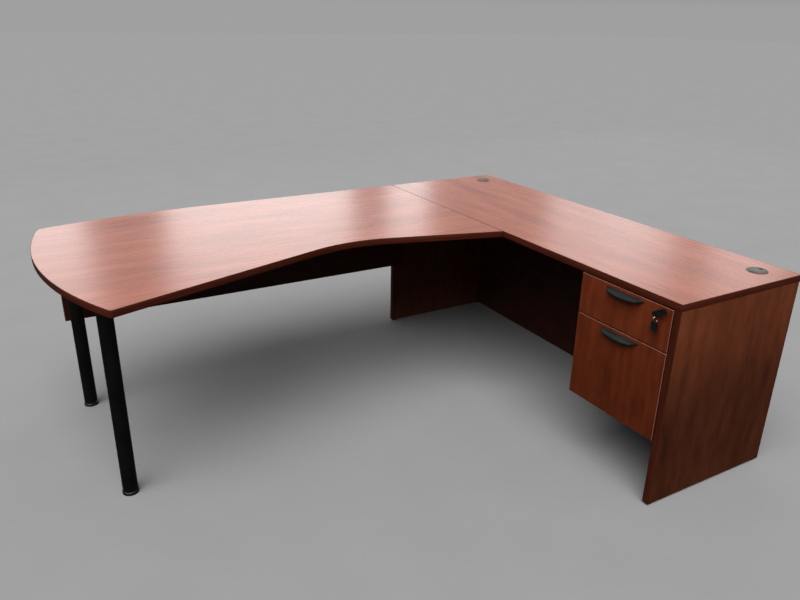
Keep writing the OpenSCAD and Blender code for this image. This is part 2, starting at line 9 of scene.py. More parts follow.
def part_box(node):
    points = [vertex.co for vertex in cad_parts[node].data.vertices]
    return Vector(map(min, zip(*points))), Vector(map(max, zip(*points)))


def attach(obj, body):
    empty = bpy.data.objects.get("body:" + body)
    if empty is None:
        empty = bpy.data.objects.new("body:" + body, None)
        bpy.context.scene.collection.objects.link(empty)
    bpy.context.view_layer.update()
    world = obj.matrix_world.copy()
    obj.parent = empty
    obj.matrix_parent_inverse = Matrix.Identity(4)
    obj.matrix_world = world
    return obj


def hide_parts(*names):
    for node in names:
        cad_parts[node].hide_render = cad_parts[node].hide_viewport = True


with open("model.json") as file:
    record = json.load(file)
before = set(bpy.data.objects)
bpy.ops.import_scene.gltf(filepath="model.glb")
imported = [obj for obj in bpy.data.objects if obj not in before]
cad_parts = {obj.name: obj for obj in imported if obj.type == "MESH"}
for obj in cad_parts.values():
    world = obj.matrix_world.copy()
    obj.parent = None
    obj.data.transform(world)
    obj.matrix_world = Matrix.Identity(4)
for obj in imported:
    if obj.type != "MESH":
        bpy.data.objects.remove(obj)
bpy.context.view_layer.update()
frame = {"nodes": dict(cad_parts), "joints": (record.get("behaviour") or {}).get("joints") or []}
nodes = frame["nodes"]
scene = bpy.context.scene


# the desk's own corner, where the two tops meet at the back, is the start of every measure
credenzaLow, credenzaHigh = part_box("credenza_edge_band")
corner = Vector((credenzaLow.x, credenzaHigh.y, 0))
topHeight = credenzaHigh.z
underside = credenzaLow.z
# pieces that turn are built round their joint's axis: a round node's box is a hair off it
turnsAt = {joint["name"]: Vector(joint["pos_m"]) for joint in frame["joints"] if "pos_m" in joint}


def fromCorner(x, y, z=0.0):
    return corner + Vector((x, y, z))


def middleOf(node):
    low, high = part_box(node)
    return (low + high) / 2


# materials

def toLinear(hexColour):
    out = []
    for place in (1, 3, 5):
        c = int(hexColour[place:place + 2], 16) / 255
        out.append(c / 12.92 if c <= 0.04045 else ((c + 0.055) / 1.055) ** 2.4)
    return (*out, 1.0)


def addNode(tree, kind, sockets=None, stops=None, **settings):
    node = tree.nodes.new(kind)
    for name, value in settings.items():
        setattr(node, name, value)
    for name, value in (sockets or {}).items():
        if isinstance(value, bpy.types.NodeSocket):
            tree.links.new(value, node.inputs[name])
        else:
            node.inputs[name].default_value = value
    if stops:
        ramp = node.color_ramp
        while len(ramp.elements) < len(stops):
            ramp.elements.new(0.5)
        for element, (place, colour) in zip(ramp.elements, stops):
            element.position = place
            element.color = colour
    return node


def newMaterial(name):
    material = bpy.data.materials.new(name)
    material.use_nodes = True
    material.node_tree.nodes.clear()
    return material, material.node_tree


def finishMaterial(tree, shader):
    addNode(tree, "ShaderNodeOutputMaterial", {"Surface": shader.outputs[0]})


grainTurns = {"X": (0, 0, 0), "Y": (0, 0, -math.pi / 2), "Z": (0, math.pi / 2, 0)}


def woodLaminate(name, look):
    material, tree = newMaterial(name)
    place = addNode(tree, "ShaderNodeTexCoord")
    turned = addNode(tree, "ShaderNodeMapping", {
        "Vector": place.outputs["Object"], "Rotation": grainTurns[look["grain"]],
        "Location": look["shift"]})
    bend = addNode(tree, "ShaderNodeTexNoise", {
        "Vector": turned.outputs[0], "Scale": 1.1, "Detail": 1.0})
    bent = addNode(tree, "ShaderNodeVectorMath", {
        0: bend.outputs["Color"], 1: (0.0, look["bend"], look["bend"]), 2: turned.outputs[0]},
        operation="MULTIPLY_ADD")
    # planks: slow colour drift about 90 mm across and half a metre along
    drift = addNode(tree, "ShaderNodeMapping", {
        "Vector": bent.outputs[0], "Scale": (1 / look["driftLong"], 1 / look["driftWide"],
                                             1 / look["driftWide"])})
    driftNoise = addNode(tree, "ShaderNodeTexNoise", {
        "Vector": drift.outputs[0], "Scale": 1.0, "Detail": 3.0, "Roughness": 0.5})
    # growth rings drawn out along the grain, arching where the bend folds them; a band wave
    # repeats every 0.314 / scale metres
    ringPlace = addNode(tree, "ShaderNodeMapping", {
        "Vector": bent.outputs[0], "Scale": (0.11, 1.0, 1.0)})
    rings = addNode(tree, "ShaderNodeTexWave", {
        "Vector": ringPlace.outputs[0], "Scale": 0.314 / look["ringWide"], "Distortion": 5.0,
        "Detail": 3.0, "Detail Scale": 0.35 / look["ringWide"] * 0.1, "Detail Roughness": 0.6},
        wave_type="BANDS", bands_direction="Y", wave_profile="SIN")
    # fibres about 3 mm wide and 120 mm long, wider than the print's so that they show
    fibrePlace = addNode(tree, "ShaderNodeMapping", {
        "Vector": bent.outputs[0], "Scale": (8.0, 320.0, 320.0)})
    fibres = addNode(tree, "ShaderNodeTexNoise", {
        "Vector": fibrePlace.outputs[0], "Scale": 1.0, "Detail": 3.0, "Roughness": 0.6})
    # cloudy mottle across the grain, as on cherry
    cloudPlace = addNode(tree, "ShaderNodeMapping", {
        "Vector": bent.outputs[0], "Scale": (
            look["cloudAlong"], look["cloudAcross"], look["cloudAcross"])})
    clouds = addNode(tree, "ShaderNodeTexNoise", {
        "Vector": cloudPlace.outputs[0], "Scale": 1.0, "Detail": 4.0, "Roughness": 0.55})
    total = None
    for source, share in ((driftNoise.outputs[0], look["driftShare"]),
                          (rings.outputs["Fac"], look["ringShare"]),
                          (fibres.outputs[0], look["fibreShare"]),
                          (clouds.outputs[0], look["cloudShare"])):
        centred = addNode(tree, "ShaderNodeMath", {0: source, 1: -0.5}, operation="ADD")
        total = addNode(tree, "ShaderNodeMath", {
            0: centred.outputs[0], 1: share, 2: total.outputs[0] if total else 0.5},
            operation="MULTIPLY_ADD")
    dark, middle, pale = (toLinear(c) for c in look["colours"])
    colour = addNode(tree, "ShaderNodeValToRGB", {"Fac": total.outputs[0]},
                     stops=((0.28, dark), (0.5, middle), (0.74, pale)))
    # painted shade: uprights and drawer fronts are made darker toward the floor, standing in for
    # the shade that falls low under the desk
    height = addNode(tree, "ShaderNodeSeparateXYZ", {"Vector": place.outputs["Object"]})
    tone = addNode(tree, "ShaderNodeMapRange", {
        "Value": height.outputs["Z"], "From Min": 0.30, "From Max": 0.70,
        "To Min": look["paintedShadeLow"], "To Max": 1.0}, interpolation_type="SMOOTHSTEP")
    paintedShadeColour = addNode(tree, "ShaderNodeVectorMath", {
        0: colour.outputs[0], "Scale": tone.outputs[0]}, operation="SCALE")
    rough = addNode(tree, "ShaderNodeMapRange", {
        "Value": fibres.outputs[0], "From Min": 0.3, "From Max": 0.7,
        "To Min": look["rough"] - 0.01, "To Max": look["rough"] + 0.02})
    relief = addNode(tree, "ShaderNodeBump", {
        "Height": fibres.outputs[0], "Strength": 0.03, "Distance": 0.0002})
    shader = addNode(tree, "ShaderNodeBsdfPrincipled", {
        "Base Color": paintedShadeColour.outputs[0], "Roughness": rough.outputs[0], "IOR": look["ior"],
        "Normal": relief.outputs[0]})
    finishMaterial(tree, shader)
    return material


laminateLook = {
    "grain": "X", "shift": (0.0, 0.0, 0.0), "bend": 0.10,
    "driftLong": 0.55, "driftWide": 0.085, "ringWide": 0.034,
    "driftShare": 0.50, "ringShare": 0.05, "fibreShare": 0.05, "cloudShare": 0.50,
    "cloudAlong": 3.6, "cloudAcross": 17.0, "paintedShadeLow": 1.0,
    "colours": ("#8C4530", "#A6553A", "#BA6B50"), "rough": 0.27, "ior": 1.5,
}
# cherry-print melamine: a paper print under satin resin, with a soft wide shine
cherryAlongPeninsula = woodLaminate("cherry_melamine_peninsula", laminateLook)
cherryAlongCredenza = woodLaminate("cherry_melamine_credenza", {
    **laminateLook, "grain": "Y", "shift": (0.7, 0.3, 0.2)})
# the same print on the uprights: browner and duller, with painted shade darkening it toward the
# floor
cherryUpright = woodLaminate("cherry_melamine_upright", {
    **laminateLook, "grain": "Z", "shift": (0.4, 0.8, 0.1), "driftWide": 0.06,
    "driftLong": 0.9, "cloudAlong": 9.0, "cloudAcross": 26.0,
    "paintedShadeLow": 0.46, "colours": ("#562814", "#773C23", "#8D4B2E"), "rough": 0.45, "ior": 1.32})
# the drawer fronts, with narrower planks and a little more shine, and painted shade darkening them
# toward the floor
cherryFront = woodLaminate("cherry_melamine_front", {
    **laminateLook, "grain": "Z", "shift": (1.4, 0.2, 0.6), "driftWide": 0.07,
    "cloudAlong": 9.0, "cloudAcross": 26.0,
    "paintedShadeLow": 0.62, "colours": ("#622814", "#7E381D", "#944628"), "rough": 0.44, "ior": 1.26})
# back, modesty and pedestal panels: a dark print, darkened further as painted shade standing in
# for the shade under the desk, nearly flat
cherryPanel = woodLaminate("cherry_melamine_panel_painted_shade", {
    **laminateLook, "shift": (2.0, 0.5, 0.3),
    "colours": ("#2A110A", "#3A180E", "#482014"), "rough": 0.5, "ior": 1.32})
# maple-print drawer board: pale, dull, with faint grain
mapleBoard = woodLaminate("maple_print_board", {
    **laminateLook, "shift": (0.2, 1.1, 0.4), "driftShare": 0.3, "cloudShare": 0.25,
    "colours": ("#A88A66", "#BC9F7A", "#CDB390"), "rough": 0.5})
# turned beech: bare wood with short dark flecks
turnedBeech = woodLaminate("turned_beech", {
    **laminateLook, "grain": "Z", "driftWide": 0.01, "driftLong": 0.06, "ringWide": 0.004,
    "colours": ("#B98A5C", "#CFA477", "#DDB88E"), "rough": 0.6})


def bandedEdge(name, streakScale, colours, rough, paintedEdgeHighlight=None):
    # the band's own print: thin streaks that run along the edge
    material, tree = newMaterial(name)
    place = addNode(tree, "ShaderNodeTexCoord")
    drawn = addNode(tree, "ShaderNodeMapping", {
        "Vector": place.outputs["Object"], "Scale": streakScale})
    streaks = addNode(tree, "ShaderNodeTexNoise", {
        "Vector": drawn.outputs[0], "Scale": 1.0, "Detail": 3.0, "Roughness": 0.6})
    dark, pale = (toLinear(c) for c in colours)
    colour = addNode(tree, "ShaderNodeValToRGB", {"Fac": streaks.outputs[0]},
                     stops=((0.34, dark), (0.68, pale)))
    colour = colour.outputs[0]
    if paintedEdgeHighlight:
        # painted highlight: the rounding is drawn paler than the flats, standing in for light
        # catching it
        facing = addNode(tree, "ShaderNodeVectorMath", {0: place.outputs["Normal"]},
                         operation="ABSOLUTE")
        parts = addNode(tree, "ShaderNodeSeparateXYZ", {"Vector": facing.outputs[0]})
        wider = addNode(tree, "ShaderNodeMath", {0: parts.outputs[0], 1: parts.outputs[1]},
                        operation="MAXIMUM")
        widest = addNode(tree, "ShaderNodeMath", {0: wider.outputs[0], 1: parts.outputs[2]},
                         operation="MAXIMUM")
        share = addNode(tree, "ShaderNodeMapRange", {
            "Value": widest.outputs[0], "From Min": 0.99, "From Max": 0.93})
        mixed = addNode(tree, "ShaderNodeMix", {
            0: share.outputs[0], 6: colour, 7: toLinear(paintedEdgeHighlight)}, data_type="RGBA")
        colour = mixed.outputs[2]
    relief = addNode(tree, "ShaderNodeBump", {
        "Height": streaks.outputs[0], "Strength": 0.08, "Distance": 0.0001})
    shader = addNode(tree, "ShaderNodeBsdfPrincipled", {
        "Base Color": colour, "Roughness": rough, "IOR": 1.42,
        "Normal": relief.outputs[0]})
    finishMaterial(tree, shader)
    return material


# extruded PVC band: darker than the boards, with a slightly harder shine
bandLevel = bandedEdge("pvc_band_level", (5.0, 5.0, 240.0), ("#44180B", "#5E2716"), 0.36)
# the drawer fronts' band has a painted highlight on its rounded edges
bandFront = bandedEdge("pvc_band_front", (5.0, 5.0, 240.0), ("#44180B", "#5E2716"), 0.34,
                       paintedEdgeHighlight="#A8705F")
bandUpright = bandedEdge("pvc_band_upright", (240.0, 240.0, 5.0), ("#401709", "#582514"), 0.36)


def finePaint(name, colours, rough, grit, depth, metallic=0.0, ior=1.5):
    # a skin with a small random relief; grit is the size of one bump in metres
    material, tree = newMaterial(name)
    place = addNode(tree, "ShaderNodeTexCoord")
    bumps = addNode(tree, "ShaderNodeTexNoise", {
        "Vector": place.outputs["Object"], "Scale": 1 / grit, "Detail": 2.0})
    patches = addNode(tree, "ShaderNodeTexNoise", {
        "Vector": place.outputs["Object"], "Scale": 14.0, "Detail": 3.0})
    dark, pale = (toLinear(c) for c in colours)
    colour = addNode(tree, "ShaderNodeValToRGB", {"Fac": patches.outputs[0]},
                     stops=((0.3, dark), (0.7, pale)))
    roughness = addNode(tree, "ShaderNodeMapRange", {
        "Value": patches.outputs[0], "From Min": 0.25, "From Max": 0.75,
        "To Min": rough - 0.04, "To Max": rough + 0.05})
    relief = addNode(tree, "ShaderNodeBump", {
        "Height": bumps.outputs[0], "Strength": 0.25, "Distance": depth})
    sockets = {"Base Color": colour.outputs[0], "Roughness": roughness.outputs[0],
               "Metallic": metallic, "Normal": relief.outputs[0]}
    if not metallic:
        sockets["IOR"] = ior
    shader = addNode(tree, "ShaderNodeBsdfPrincipled", sockets)
    finishMaterial(tree, shader)
    return material


# black powder coat over steel tube: deep black with a broken, slightly pebbled shine
powderBlack = finePaint("black_powder_coat", ("#040404", "#09090A"), 0.36, 0.0016, 0.0002)
# moulded nylon: black, duller than the coat
nylonBlack = finePaint("moulded_black_nylon", ("#060707", "#0C0D0D"), 0.5, 0.0012, 0.0001)
# moulded ABS of the pulls: charcoal, satin, so the blade picks up the room's light
absCharcoal = finePaint("satin_charcoal_abs", ("#14191A", "#1F2526"), 0.36, 0.0009, 0.00005)
# moulded ABS of the grommets: a warm mid grey
absGrey = finePaint("moulded_grey_abs", ("#4B4A47", "#5A5855"), 0.42, 0.0010, 0.00008)
# bright zinc plate: bluish steel with uneven dulling
zincPlate = finePaint("bright_zinc_plate", ("#A3A7A8", "#C3C6C6"), 0.33, 0.002, 0.00005, 1.0)
# nickel plate of the lock and its key: warmer and smoother than the zinc
nickelPlate = finePaint("nickel_plate", ("#B4AEA2", "#CFCABF"), 0.22, 0.0015, 0.00002, 1.0)

cadFinishes = {
    cherryUpright: ("near_gable", "far_gable", "pedestal_near_side", "pedestal_far_side"),
    cherryPanel: ("back_panel", "modesty_panel", "pedestal_bottom", "pedestal_back",
                  "pedestal_rails"),
    cherryFront: ("upper_drawer_front", "lower_drawer_front"),
    mapleBoard: tuple(f"{drawer}_drawer_{side}" for drawer in ("upper", "lower")
                      for side in ("near_side", "far_side", "back", "bottom")),
    turnedBeech: ("wood_dowels",),
    zincPlate: ("modesty_brackets", "joining_plates", "cam_fittings", "slide_outer_members",
                "upper_slide_inner_members", "lower_slide_inner_members",
                "lower_slide_middle_members", "file_rails", "lock_cam"),
    powderBlack: ("leg_plates",),
    nickelPlate: ("key_blade",),
}
for finish, names in cadFinishes.items():
    for name in names:
        nodes[name].data.materials.clear()
        nodes[name].data.materials.append(finish)
print("materials:", len(bpy.data.materials))


# mesh helpers

def showMesh(name, mesh, material, body, stoodFor=(), smoothTo=35):
    mesh.materials.clear()
    mesh.materials.append(material)
    mesh.shade_smooth()
    mesh.set_sharp_from_angle(angle=math.radians(smoothTo))
    piece = bpy.data.objects.new(name, mesh)
    scene.collection.objects.link(piece)
    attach(piece, body)
    if stoodFor:
        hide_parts(*stoodFor)
    return piece


def meshFrom(build, place=None, bevel=0.0, segments=2, cuts=(), keeps=()):
    # build fills a bmesh; the bevel and the cuts are then made real
    work = bmesh.new()
    build(work)
    bmesh.ops.remove_doubles(work, verts=work.verts, dist=1e-6)
    bmesh.ops.recalc_face_normals(work, faces=work.faces)
    if place:
        work.transform(place)
    mesh = bpy.data.meshes.new("work")
    work.to_mesh(mesh)
    work.free()
    holder = bpy.data.objects.new("work", mesh)
    scene.collection.objects.link(holder)
    cutters = []
    for i, cut in enumerate((*cuts, *keeps)):
        cutter = bpy.data.objects.new("cutter", cut)
        scene.collection.objects.link(cutter)
        cutters.append(cutter)
        step = holder.modifiers.new("cut", "BOOLEAN")
        step.operation = "DIFFERENCE" if i < len(cuts) else "INTERSECT"
        step.solver = "EXACT"
        step.object = cutter
    if bevel:
        step = holder.modifiers.new("soften", "BEVEL")
        step.width = bevel
        step.segments = segments
        step.limit_method = "ANGLE"
        step.angle_limit = math.radians(32)
    made = realMesh(holder)
    for helper in (holder, *cutters):
        bpy.data.objects.remove(helper)
    return made


def realMesh(holder):
    bpy.context.view_layer.update()
    seen = holder.evaluated_get(bpy.context.evaluated_depsgraph_get())
    return bpy.data.meshes.new_from_object(seen)


def facesOut(mesh):
    work = bmesh.new()
    work.from_mesh(mesh)
    bmesh.ops.remove_doubles(work, verts=work.verts, dist=1e-6)
    bmesh.ops.recalc_face_normals(work, faces=work.faces)
    work.to_mesh(mesh)
    work.free()
    return mesh


def prism(work, outline, low, high):
    bottom = [work.verts.new((x, y, low)) for x, y in outline]
    top = [work.verts.new((x, y, high)) for x, y in outline]
    work.faces.new(bottom[::-1])
    work.faces.new(top)
    for i in range(len(outline)):
        j = (i + 1) % len(outline)
        work.faces.new((bottom[i], bottom[j], top[j], top[i]))


def lathe(work, profile, steps=64, centre=(0, 0)):
    # profile is a closed loop of (radius, height); radius 0 is a pole
    rings = []
    for radius, height in profile:
        if radius == 0:
            rings.append([work.verts.new((*centre, height))] * steps)
            continue
        rings.append([work.verts.new((centre[0] + radius * math.cos(2 * math.pi * k / steps),
                                      centre[1] + radius * math.sin(2 * math.pi * k / steps),
                                      height)) for k in range(steps)])
    for i, ring in enumerate(rings):
        other = rings[(i + 1) % len(rings)]
        for k in range(steps):
            n = (k + 1) % steps
            loop = []
            for vert in (ring[k], ring[n], other[n], other[k]):
                if vert not in loop:
                    loop.append(vert)
            if len(loop) > 2:
                work.faces.new(loop)


def joinMeshes(meshes):
    work = bmesh.new()
    for mesh in meshes:
        work.from_mesh(mesh)
    made = bpy.data.meshes.new("joined")
    work.to_mesh(made)
    work.free()
    return made


# outlines

def arcPoints(centre, radius, start, end, steps):
    return [Vector((centre.x + radius * math.cos(math.radians(start + (end - start) * i / steps)),
                    centre.y + radius * math.sin(math.radians(start + (end - start) * i / steps))))
            for i in range(steps + 1)]


def bearing(a, b):
    return math.degrees(math.atan2(b.y - a.y, b.x - a.x))


def circlesMeet(first, firstRadius, second, secondRadius):
    gap = second - first
    along = gap.normalized()
    across = Vector((-along.y, along.x))
    u = (gap.length ** 2 + firstRadius ** 2 - secondRadius ** 2) / (2 * gap.length)
    return first + along * u + across * math.sqrt(firstRadius ** 2 - u ** 2)


def lineLeaves(start, along, centre, radius):
    b = along.dot(start - centre)
    c = (start - centre).length_squared - radius ** 2
    return start + along * (math.sqrt(b * b - c) - b)


def roundedCorner(before, point, after, radius, steps=4):
    incoming = (point - before).normalized()
    outgoing = (after - point).normalized()
    turn = incoming.angle(outgoing)
    back = radius * math.tan(turn / 2)
    inward = (outgoing - incoming).normalized()
    centre = point + inward * (radius / math.cos(turn / 2))
    start = bearing(centre, point - incoming * back)
    end = bearing(centre, point + outgoing * back)
    if end < start:
        end += 360
    return arcPoints(centre, radius, start, end, steps)


def roundedLoop(corners, radius):
    points = []
    for i, point in enumerate(corners):
        points += roundedCorner(corners[i - 1], point, corners[(i + 1) % len(corners)], radius)
    return points


def insetLoop(points, distance):
    # the loop runs anticlockwise, so its inside is on the left
    moved = []
    for i, point in enumerate(points):
        along = ((point - points[i - 1]).normalized()
                 + (points[(i + 1) % len(points)] - point).normalized()).normalized()
        moved.append(point + Vector((-along.y, along.x)) * distance)
    return moved


peninsula = {
    "reach": 1.696, "seamGap": 0.001,
    "bowRadius": 1.365, "bowBack": 0.441,
    "backStraight": 0.950, "backRadius": 3.0,
    "waistAt": 0.600, "waistDepth": 0.793, "waistRadius": 0.550,
    "outerSlope": 19, "innerSlope": 15,
    "backCorner": 0.028, "frontCorner": 0.012, "seamCorner": 0.0025,
}


def peninsulaOutline(p):
    back = Vector((-p["backStraight"], -p["backRadius"]))
    bow = Vector((p["bowRadius"] - p["reach"], -p["bowBack"]))
    waist = Vector((-p["waistAt"], -p["waistDepth"] - p["waistRadius"]))
    outer, inner = math.radians(p["outerSlope"]), math.radians(p["innerSlope"])
    outerNormal = Vector((-math.sin(outer), math.cos(outer)))
    outerAlong = Vector((-math.cos(outer), -math.sin(outer)))
    innerNormal = Vector((math.sin(inner), math.cos(inner)))
    backCorner = circlesMeet(back, p["backRadius"] - p["backCorner"],
                             bow, p["bowRadius"] - p["backCorner"])
    frontCorner = lineLeaves(waist + outerNormal * (p["waistRadius"] + p["frontCorner"]),
                             outerAlong, bow, p["bowRadius"] - p["frontCorner"])
    tangent = waist + innerNormal * p["waistRadius"]
    seamX = -p["seamGap"]
    seamFront = Vector((seamX, tangent.y - (seamX - tangent.x) * math.tan(inner)))
    seamBack = Vector((seamX, 0))
    bowEnd = bearing(bow, frontCorner) % 360
    loop = roundedCorner(seamFront, seamBack, Vector((-0.5, 0)), p["seamCorner"])
    loop += arcPoints(back, p["backRadius"], 90, bearing(back, backCorner), 40)
    loop += arcPoints(backCorner, p["backCorner"], bearing(back, backCorner),
                      bearing(bow, backCorner), 10)[1:]
    loop += arcPoints(bow, p["bowRadius"], bearing(bow, backCorner), bowEnd, 72)[1:]
    loop += arcPoints(frontCorner, p["frontCorner"], bowEnd, 270 + p["outerSlope"], 8)[1:]
    loop += arcPoints(waist, p["waistRadius"], 90 + p["outerSlope"], 90 - p["innerSlope"], 40)
    loop += roundedCorner(tangent, seamFront, seamBack, p["seamCorner"])
    return loop


# edge bands: one section swept along any outline

def groupInputs(tree, wanted):
    tree.interface.new_socket("Geometry", in_out="INPUT", socket_type="NodeSocketGeometry")
    for label, kind in wanted:
        tree.interface.new_socket(label, in_out="INPUT", socket_type="NodeSocket" + kind)
    tree.interface.new_socket("Geometry", in_out="OUTPUT", socket_type="NodeSocketGeometry")
    return addNode(tree, "NodeGroupInput").outputs


def endTree(tree, geometry, material):
    real = addNode(tree, "GeometryNodeRealizeInstances", {"Geometry": geometry})
    dressed = addNode(tree, "GeometryNodeSetMaterial", {
        "Geometry": real.outputs[0], "Material": material})
    addNode(tree, "NodeGroupOutput", {"Geometry": dressed.outputs[0]})
    return tree


def edgeBandTree():
    tree = bpy.data.node_groups.new("edgeBand", "GeometryNodeTree")
    given = groupInputs(tree, (("Band thickness", "Float"), ("Board thickness", "Float"),
                               ("Edge radius", "Float"), ("Finish", "Material")))
    path = addNode(tree, "GeometryNodeMeshToCurve", {"Mesh": given["Geometry"]})
    upright = addNode(tree, "GeometryNodeSetCurveNormal", {"Curve": path.outputs[0]},
                      mode="Z_UP")
    section = addNode(tree, "GeometryNodeCurvePrimitiveQuadrilateral", {
        "Width": given["Band thickness"], "Height": given["Board thickness"]})
    half = addNode(tree, "ShaderNodeMath", {0: given["Band thickness"], 1: -0.5},
                   operation="MULTIPLY")
    # the section lies wholly on the inner side of an anticlockwise outline
    offset = addNode(tree, "ShaderNodeCombineXYZ", {"X": half.outputs[0]})
    inside = addNode(tree, "GeometryNodeTransform", {
        "Geometry": section.outputs[0], "Translation": offset.outputs[0]})
    place = addNode(tree, "GeometryNodeInputPosition")
    parts = addNode(tree, "ShaderNodeSeparateXYZ", {"Vector": place.outputs[0]})
    depth = addNode(tree, "ShaderNodeMath", {0: parts.outputs["X"]}, operation="ABSOLUTE")
    outer = addNode(tree, "ShaderNodeMath", {0: depth.outputs[0], 1: 1e-5},
                    operation="LESS_THAN")
    radius = addNode(tree, "ShaderNodeMath", {0: outer.outputs[0], 1: given["Edge radius"]},
                     operation="MULTIPLY")
    rounded = addNode(tree, "GeometryNodeFilletCurve", {
        "Curve": inside.outputs[0], "Count": 3, "Radius": radius.outputs[0]}, mode="POLY")
    sweep = addNode(tree, "GeometryNodeCurveToMesh", {
        "Curve": upright.outputs[0], "Profile Curve": rounded.outputs[0], "Fill Caps": True})
    return endTree(tree, sweep.outputs[0], given["Finish"])


edgeBand = edgeBandTree()


def grow(tree, source, values):
    # runs a tree on a mesh and gives back what it makes
    holder = bpy.data.objects.new("grow", source)
    scene.collection.objects.link(holder)
    step = holder.modifiers.new("grow", "NODES")
    step.node_group = tree
    for item in tree.interface.items_tree:
        if item.in_out == "INPUT" and item.name in values:
            step[item.identifier] = values[item.name]
    made = realMesh(holder)
    holder.modifiers.clear()
    bpy.data.objects.remove(holder)
    return made


def pathMesh(points, height, closed):
    mesh = bpy.data.meshes.new("path")
    count = len(points)
    edges = [(i, (i + 1) % count) for i in range(count if closed else count - 1)]
    mesh.from_pydata([(x, y, height) for x, y in points], edges, [])
    return mesh


def sweptBand(points, height, settings, finish, closed=True, place=None):
    made = grow(edgeBand, pathMesh(points, height, closed), {
        "Band thickness": settings["bandThick"], "Board thickness": settings["boardThick"],
        "Edge radius": settings["edgeRadius"], "Finish": finish})
    if place:
        made.transform(place)
    return facesOut(made)


topEdge = {"bandThick": 0.002, "boardThick": topHeight - underside, "edgeRadius": 0.0014}
middleHeight = (topHeight + underside) / 2

outline = [corner.xy + point for point in peninsulaOutline(peninsula)]
showMesh("peninsulaBand", sweptBand(outline, middleHeight, topEdge, bandLevel), bandLevel,
         "frame", ("peninsula_edge_band",))
showMesh("peninsulaBoard",
         meshFrom(lambda work: prism(work, insetLoop(outline, topEdge["bandThick"]),
                                     underside, topHeight)),
         cherryAlongPeninsula, "frame", ("peninsula_top",))

credenza = {"cornerRadius": 0.0025}
credenzaCorners = [Vector(p) for p in ((credenzaLow.x, credenzaLow.y),
                                       (credenzaHigh.x, credenzaLow.y),
                                       (credenzaHigh.x, credenzaHigh.y),
                                       (credenzaLow.x, credenzaHigh.y))]
credenzaLoop = roundedLoop(credenzaCorners, credenza["cornerRadius"])
showMesh("credenzaBand", sweptBand(credenzaLoop, middleHeight, topEdge, bandLevel), bandLevel,
         "frame", ("credenza_edge_band",))

grommet = {
    "sides": ("near", "far"), "bore": 0.0302, "sleeve": 0.030, "throat": 0.0275,
    "ledge": 0.0245, "flange": 0.036, "cap": 0.0273, "proud": 0.003,
    "slotFrom": 0.013, "slotTo": 0.033, "slotHalf": 0.007, "slotCorner": 0.002,
}
bores = []
for side in grommet["sides"]:
    spot = turnsAt[side + "_cap_turn"]
    bores.append(meshFrom(lambda work: prism(
        work, arcPoints(spot.xy, grommet["bore"], 0, 360, 96)[:-1],
        underside - 0.01, topHeight + 0.01)))
showMesh("credenzaBoard",
         meshFrom(lambda work: prism(work, insetLoop(credenzaLoop, topEdge["bandThick"]),
                                     underside, topHeight), cuts=bores),
         cherryAlongCredenza, "frame", ("credenza_top",))
print("tops done")

# bands on the uprights are swept along flat paths and stood up afterwards
panelEdge = {"bandThick": 0.002, "boardThick": 0.025, "edgeRadius": 0.0012}
bands = []
for gable in ("near_gable", "far_gable"):
    low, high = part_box(gable)
    y = (low.y + high.y) / 2
    for x, face in ((low.x - panelEdge["bandThick"], 1), (high.x + panelEdge["bandThick"], -1)):
        bands.append((high.z - low.z, x, y, low.z, face))


def uprightBand(tall, x, y, z, face):
    # the path lies along X with its section inwards on +Y; it is turned to stand along Z
    turn = Matrix(((0, face, 0, x), (0, 0, 1, y), (1, 0, 0, z), (0, 0, 0, 1)))
    return sweptBand([Vector((0, 0)), Vector((tall, 0))], 0, panelEdge, bandUpright,
                     closed=False, place=turn)


meshes = [uprightBand(*band) for band in bands]
modestyLow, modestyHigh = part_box("modesty_panel")
modestyMiddle = (modestyLow.y + modestyHigh.y) / 2
meshes.append(uprightBand(modestyHigh.z - modestyLow.z, modestyLow.x - panelEdge["bandThick"],
                          modestyMiddle, modestyLow.z, 1))
lowerEdge = Matrix(((1, 0, 0, modestyLow.x - panelEdge["bandThick"]), (0, 0, 1, modestyMiddle),
                    (0, 1, 0, modestyLow.z - panelEdge["bandThick"]), (0, 0, 0, 1)))
modestyLong = modestyHigh.x - modestyLow.x + panelEdge["bandThick"]
meshes.append(sweptBand([Vector((0, 0)), Vector((modestyLong, 0))], 0, panelEdge, bandUpright,
                        closed=False, place=lowerEdge))
showMesh("panelBands", joinMeshes(meshes), bandUpright, "frame",
         ("panel_edge_bands",))

# drawer fronts: the loop is drawn flat and stood up facing the room
frontEdge = {"bandThick": 0.002, "boardThick": 0.018, "edgeRadius": 0.0015}
for drawer in ("upper", "lower"):
    low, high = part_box(drawer + "_front_edge_band")
    corners = [Vector(p) for p in ((0, 0), (high.y - low.y, 0), (high.y - low.y, high.z - low.z),
                                   (0, high.z - low.z))]
    place = Matrix(((0, 0, 1, (low.x + high.x) / 2), (1, 0, 0, low.y), (0, 1, 0, low.z),
                    (0, 0, 0, 1)))
    made = sweptBand(roundedLoop(corners, 0.0022), 0, frontEdge, bandFront, place=place)
    showMesh(drawer + "FrontBand", made, bandFront, drawer + "_drawer",
             (drawer + "_front_edge_band",))
print("edge bands done")


# screws: one pan head set on every marked point

